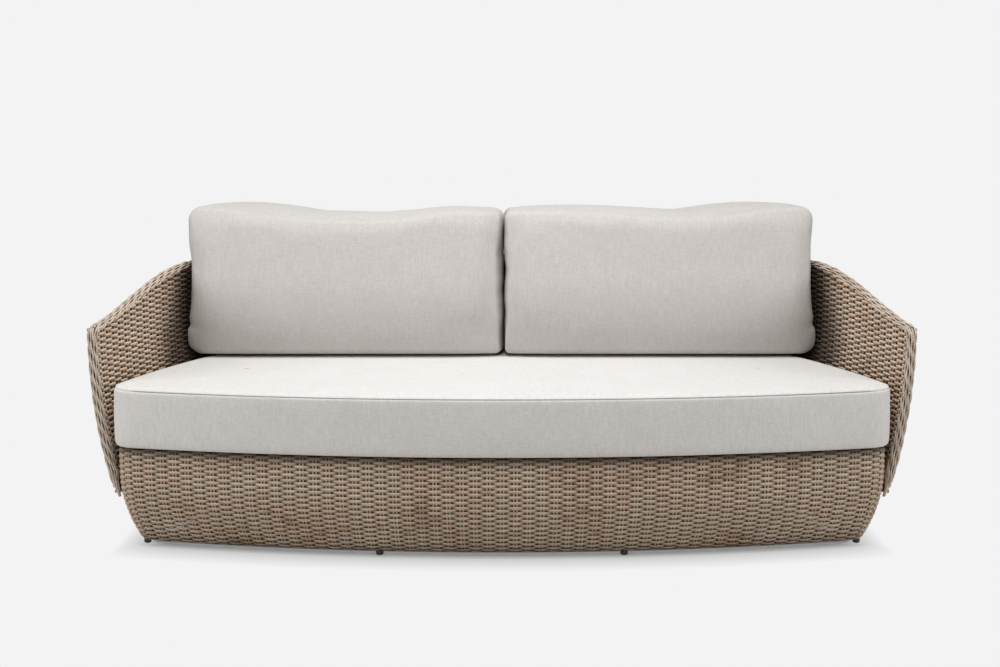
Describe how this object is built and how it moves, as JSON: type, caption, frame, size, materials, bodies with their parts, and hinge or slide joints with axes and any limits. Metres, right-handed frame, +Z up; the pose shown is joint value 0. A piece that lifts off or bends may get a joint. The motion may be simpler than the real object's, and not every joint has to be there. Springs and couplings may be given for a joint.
{
  "type": "garden sofa",
  "caption": "Woven garden sofa with a bowed base tub, a wrap-round arm and back shell, and loose seat and back cushions on levelling feet.",
  "frame": {"origin": "centre of the bounding box, on the floor under the sofa", "axes": "+X to the right seen from the front and along the seat's width, +Y towards the back, +Z up"},
  "size_m": [2.1954, 0.942, 0.8735],
  "materials": {
    "strand": "round resin strand in mixed grey, sand and brown tones, woven over and under pairs of upright stakes",
    "binding": "resin strands laid along the arm's front edge and wrapped",
    "tube": "powder-coated aluminium tube and bar",
    "bolt": "stainless steel",
    "glide": "black moulded plastic",
    "seat_cloth": "heathered light grey-beige outdoor cloth with a sewn seam line round its top edge",
    "back_cloth": "heathered light grey-beige outdoor cloth"
  },
  "bodies": {
    "frame": {"base_wicker": "strand", "base_top_rail_front": "tube", "base_top_rail_rear": "tube", "base_bottom_rail_front": "tube", "base_bottom_rail_rear": "tube", "base_post_1": "tube", "base_post_2": "tube", "base_post_3": "tube", "base_post_4": "tube", "base_post_5": "tube", "base_post_6": "tube", "base_post_7": "tube", "base_post_8": "tube", "seat_bearer_1": "tube", "seat_bearer_2": "tube", "seat_bearer_3": "tube", "seat_bearer_4": "tube", "seat_slat_1": "tube", "seat_slat_2": "tube", "seat_slat_3": "tube", "seat_slat_4": "tube", "seat_slat_5": "tube", "seat_slat_6": "tube", "shell_wicker": "strand", "arm_binding_right": "binding", "arm_binding_left": "binding", "shell_rim_tube": "tube", "shell_hem_wire": "tube", "arm_bar_right": "tube", "arm_bar_left": "tube", "shell_upright_1": "tube", "shell_bolt_1": "bolt", "shell_upright_2": "tube", "shell_bolt_2": "bolt", "shell_upright_3": "tube", "shell_bolt_3": "bolt", "shell_upright_4": "tube", "shell_bolt_4": "bolt", "shell_upright_5": "tube", "shell_bolt_5": "bolt", "shell_upright_6": "tube", "shell_bolt_6": "bolt"},
    "foot_1": {"foot_1": "glide"},
    "foot_2": {"foot_2": "glide"},
    "foot_3": {"foot_3": "glide"},
    "foot_4": {"foot_4": "glide"},
    "foot_5": {"foot_5": "glide"},
    "foot_6": {"foot_6": "glide"},
    "foot_7": {"foot_7": "glide"},
    "foot_8": {"foot_8": "glide"},
    "seat_cushion": {"seat_cushion": "seat_cloth"},
    "back_cushion_left": {"back_cushion_left": "back_cloth"},
    "back_cushion_right": {"back_cushion_right": "back_cloth"}
  },
  "joints": [
    {"name": "foot_1_travel", "type": "slide", "parent": "frame", "child": "foot_1", "axis": [0, 0, -1], "range_m": [0, 0.01]},
    {"name": "foot_2_travel", "type": "slide", "parent": "frame", "child": "foot_2", "axis": [0, 0, -1], "range_m": [0, 0.01]},
    {"name": "foot_3_travel", "type": "slide", "parent": "frame", "child": "foot_3", "axis": [0, 0, -1], "range_m": [0, 0.01]},
    {"name": "foot_4_travel", "type": "slide", "parent": "frame", "child": "foot_4", "axis": [0, 0, -1], "range_m": [0, 0.01]},
    {"name": "foot_5_travel", "type": "slide", "parent": "frame", "child": "foot_5", "axis": [0, 0, -1], "range_m": [0, 0.01]},
    {"name": "foot_6_travel", "type": "slide", "parent": "frame", "child": "foot_6", "axis": [0, 0, -1], "range_m": [0, 0.01]},
    {"name": "foot_7_travel", "type": "slide", "parent": "frame", "child": "foot_7", "axis": [0, 0, -1], "range_m": [0, 0.01]},
    {"name": "foot_8_travel", "type": "slide", "parent": "frame", "child": "foot_8", "axis": [0, 0, -1], "range_m": [0, 0.01]},
    {"name": "seat_cushion_lift", "type": "slide", "parent": "frame", "child": "seat_cushion", "axis": [0, 0, 1], "range_m": [0, 0.25]},
    {"name": "back_cushion_left_lift", "type": "slide", "parent": "seat_cushion", "child": "back_cushion_left", "axis": [0, 0, 1], "range_m": [0, 0.4]},
    {"name": "back_cushion_right_lift", "type": "slide", "parent": "seat_cushion", "child": "back_cushion_right", "axis": [0, 0, 1], "range_m": [0, 0.4]}
  ]
}
